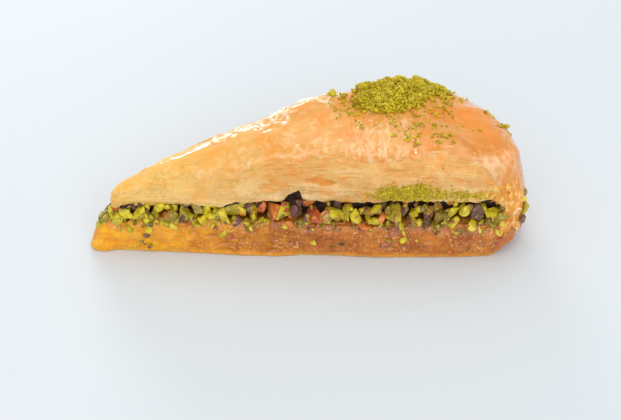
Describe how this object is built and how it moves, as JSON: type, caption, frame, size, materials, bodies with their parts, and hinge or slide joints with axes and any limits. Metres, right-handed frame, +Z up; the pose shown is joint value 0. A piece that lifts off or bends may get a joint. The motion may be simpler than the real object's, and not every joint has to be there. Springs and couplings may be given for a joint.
{
  "type": "baklava slice",
  "caption": "Long wedge of layered pistachio baklava: soaked base, chopped nut layer, tall glossy top with a folded rim, and a little heap of ground nuts on it.",
  "frame": {"origin": "middle of the slice's bounding box, on the plane that it rests on", "axes": "+X along the front cut from the tip to the browned rim, +Y from the front cut towards the back cut, +Z up"},
  "size_m": [0.1546, 0.054, 0.0515],
  "materials": {
    "bottom_pastry": "syrup-soaked caramel brown pastry",
    "pistachio_filling": "moist chopped pistachio",
    "top_pastry": "glossy golden pastry leaves",
    "pistachio_heap": "dry ground pistachio"
  },
  "bodies": {
    "root": {"bottom_pastry": "bottom_pastry", "pistachio_filling": "pistachio_filling", "top_pastry": "top_pastry", "pistachio_heap": "pistachio_heap"}
  },
  "joints": []
}
